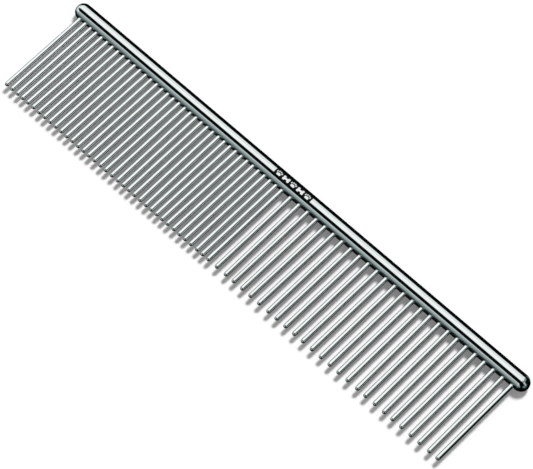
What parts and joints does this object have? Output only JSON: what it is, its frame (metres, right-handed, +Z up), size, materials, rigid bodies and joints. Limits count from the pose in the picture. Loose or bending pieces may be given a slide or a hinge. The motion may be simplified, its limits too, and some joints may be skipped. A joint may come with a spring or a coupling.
{
  "type": "grooming comb",
  "caption": "Straight steel grooming comb with a round spine bar, closely spaced teeth along one half and widely spaced teeth along the other.",
  "frame": {"origin": "centre of the footprint at the level of the underside of the spine bar, with the comb lying level on its side", "axes": "+X along the spine bar, from the fine teeth towards the coarse teeth; the teeth point to -Y; +Z up, out of the side that carries the ornament"},
  "size_m": [0.1906, 0.0382, 0.0056],
  "materials": {
    "spine_chrome": "bright chrome plate over steel, with a faint lengthwise and crosswise polishing texture",
    "tooth_chrome": "bright chrome plate over steel wire, smooth, rounded and burnished at the tips",
    "enamel": "black filling paint in a shallow engraving, satin, flush with the bar"
  },
  "bodies": {
    "root": {"spine_bar": "spine_chrome", "mark_enamel": "enamel", "fine_tooth_01": "tooth_chrome", "fine_tooth_02": "tooth_chrome", "fine_tooth_03": "tooth_chrome", "fine_tooth_04": "tooth_chrome", "fine_tooth_05": "tooth_chrome", "fine_tooth_06": "tooth_chrome", "fine_tooth_07": "tooth_chrome", "fine_tooth_08": "tooth_chrome", "fine_tooth_09": "tooth_chrome", "fine_tooth_10": "tooth_chrome", "fine_tooth_11": "tooth_chrome", "fine_tooth_12": "tooth_chrome", "fine_tooth_13": "tooth_chrome", "fine_tooth_14": "tooth_chrome", "fine_tooth_15": "tooth_chrome", "fine_tooth_16": "tooth_chrome", "fine_tooth_17": "tooth_chrome", "fine_tooth_18": "tooth_chrome", "fine_tooth_19": "tooth_chrome", "fine_tooth_20": "tooth_chrome", "fine_tooth_21": "tooth_chrome", "fine_tooth_22": "tooth_chrome", "fine_tooth_23": "tooth_chrome", "fine_tooth_24": "tooth_chrome", "fine_tooth_25": "tooth_chrome", "fine_tooth_26": "tooth_chrome", "fine_tooth_27": "tooth_chrome", "fine_tooth_28": "tooth_chrome", "fine_tooth_29": "tooth_chrome", "fine_tooth_30": "tooth_chrome", "fine_tooth_31": "tooth_chrome", "fine_tooth_32": "tooth_chrome", "fine_tooth_33": "tooth_chrome", "fine_tooth_34": "tooth_chrome", "fine_tooth_35": "tooth_chrome", "fine_tooth_36": "tooth_chrome", "fine_tooth_37": "tooth_chrome", "coarse_teeth_01_02": "tooth_chrome", "coarse_teeth_03_04": "tooth_chrome", "coarse_teeth_05_06": "tooth_chrome", "coarse_teeth_07_08": "tooth_chrome", "coarse_teeth_09_10": "tooth_chrome", "coarse_teeth_11_12": "tooth_chrome", "coarse_teeth_13_14": "tooth_chrome", "coarse_teeth_15_16": "tooth_chrome", "coarse_teeth_17_18": "tooth_chrome", "coarse_teeth_19_20": "tooth_chrome", "coarse_teeth_21_22": "tooth_chrome", "coarse_teeth_23_24": "tooth_chrome", "coarse_teeth_25_26": "tooth_chrome"}
  },
  "joints": []
}
